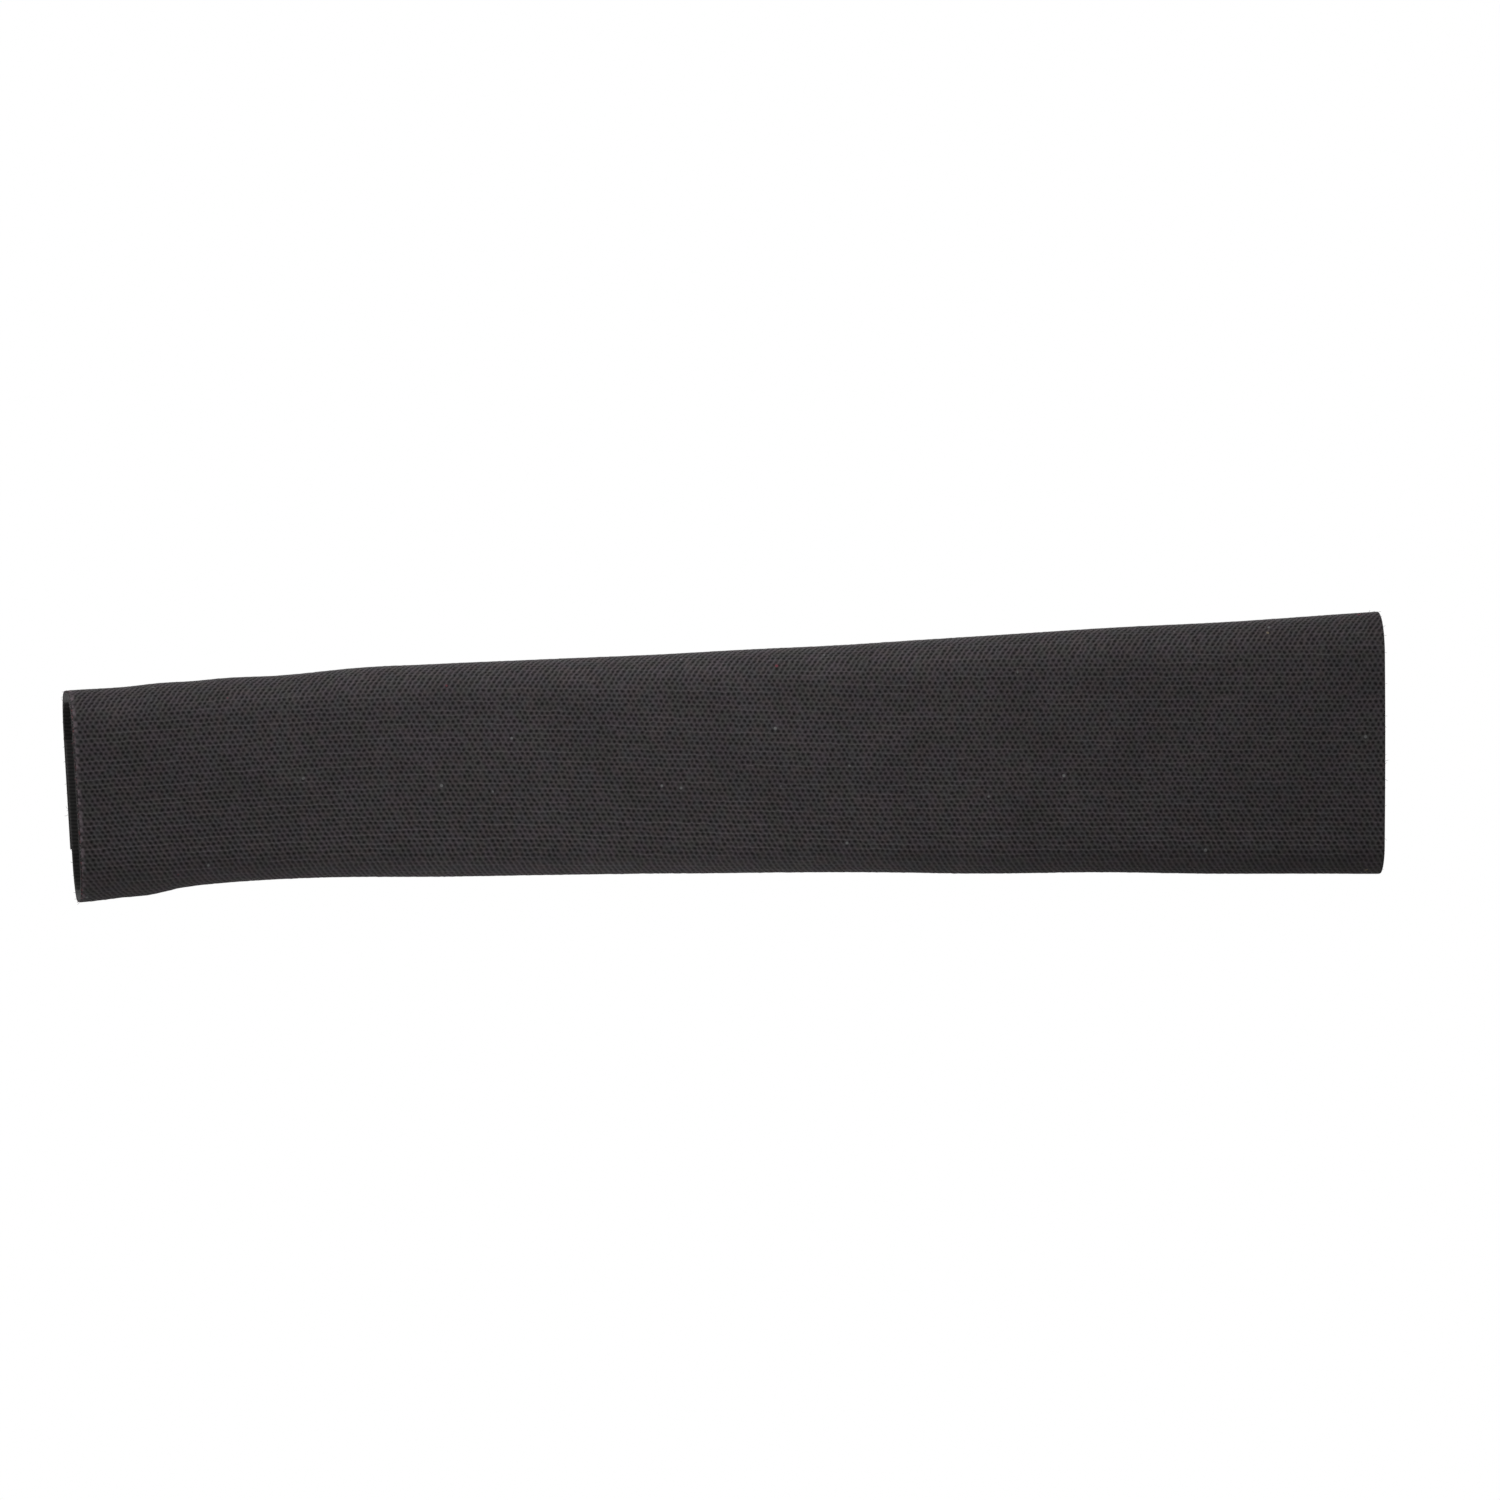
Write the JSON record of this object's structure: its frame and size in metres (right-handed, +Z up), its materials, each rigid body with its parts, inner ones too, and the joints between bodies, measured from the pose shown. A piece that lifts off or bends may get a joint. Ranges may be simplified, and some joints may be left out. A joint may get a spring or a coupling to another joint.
{
  "type": "chainstay protector",
  "caption": "Tapered sleeve of knit-faced neoprene that wraps round a bicycle chainstay and closes with hook-and-loop tape, to guard the frame from chain slap.",
  "frame": {"origin": "on the sleeve's centre line at mid-length, in the middle of the space for the stay", "axes": "+X along the stay towards the tall front end, +Z up, -Y out of the face on the chain side"},
  "size_m": [0.277, 0.0319, 0.0611],
  "materials": {
    "neoprene": "charcoal knit-faced neoprene",
    "loop_tape": "black loop pile",
    "hook_tape": "black nylon hooks"
  },
  "bodies": {
    "root": {"neoprene_wrap": "neoprene", "loop_strip": "loop_tape", "hook_strip": "hook_tape"}
  },
  "joints": []
}
